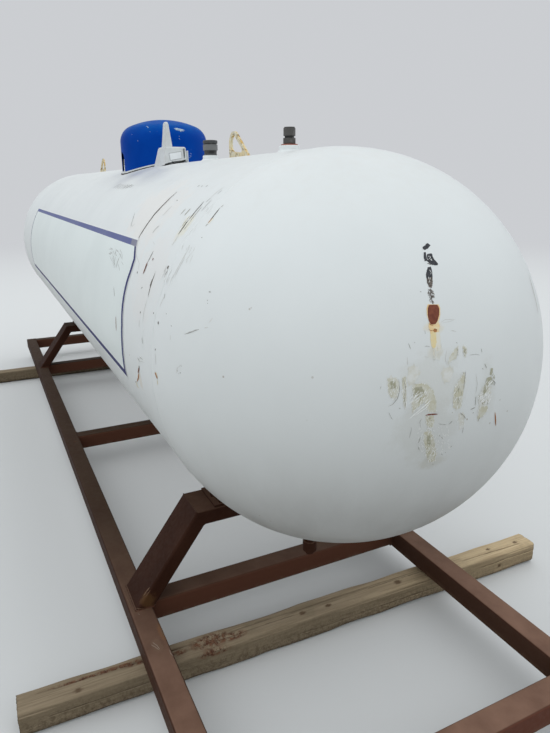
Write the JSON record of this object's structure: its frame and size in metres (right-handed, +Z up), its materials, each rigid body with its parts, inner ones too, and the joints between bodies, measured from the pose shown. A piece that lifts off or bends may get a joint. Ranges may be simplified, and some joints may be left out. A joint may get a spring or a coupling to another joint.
{
  "type": "horizontal pressure tank",
  "caption": "Horizontal gas storage tank with round heads, a hinged fittings dome, lifting lugs and a level transmitter, on a welded tube skid laid across timber bearers.",
  "frame": {"origin": "on the ground, under the middle of the tank", "axes": "+X along the tank to the front head, +Y across the skid, +Z up"},
  "size_m": [4.926, 2.0726, 1.7925],
  "materials": {
    "tank_paint": "satin",
    "skid_paint": "satin",
    "dome_paint": "gloss",
    "lug_paint": "matte",
    "dark_cap": "matte",
    "valve_brass": "satin",
    "transmitter_plastic": "matte",
    "foot_rubber": "matte",
    "timber": "rough"
  },
  "bodies": {
    "tank_on_skid": {"tank_shell": "tank_paint", "front_head": "tank_paint", "rear_head": "tank_paint", "front_lug": "lug_paint", "rear_lug": "lug_paint", "front_coupling": "tank_paint", "front_valve": "dark_cap", "relief_coupling": "tank_paint", "relief_valve": "dark_cap", "relief_cap": "dark_cap", "dome_collar": "tank_paint", "dome_hinge": "tank_paint", "lock_eye": "tank_paint", "fill_valve": "valve_brass", "service_valve": "valve_brass", "vapor_valve": "valve_brass", "float_gauge": "valve_brass", "transmitter_foot": "foot_rubber", "transmitter_box": "transmitter_plastic", "transmitter_fin": "transmitter_plastic", "drain_pipe": "skid_paint", "drain_cap": "skid_paint", "front_left_leg": "skid_paint", "front_right_leg": "skid_paint", "front_beam": "skid_paint", "front_web": "skid_paint", "front_pad": "tank_paint", "rear_left_leg": "skid_paint", "rear_right_leg": "skid_paint", "rear_beam": "skid_paint", "rear_web": "skid_paint", "rear_pad": "tank_paint", "left_rail": "skid_paint", "right_rail": "skid_paint", "rail_caps": "skid_paint", "front_end_cross": "skid_paint", "front_saddle_cross": "skid_paint", "middle_cross": "skid_paint", "rear_saddle_cross": "skid_paint", "rear_end_cross": "skid_paint", "front_timber": "timber", "rear_timber": "timber"},
    "dome_lid": {"dome_cover": "dome_paint", "cover_leaf": "dome_paint", "lock_tab": "dome_paint"}
  },
  "joints": [
    {"name": "dome_lid_hinge", "type": "hinge", "parent": "tank_on_skid", "child": "dome_lid", "pos_m": [0.133, 0, 1.6075], "axis": [0, -1, 0], "range_deg": [0, 100]}
  ]
}
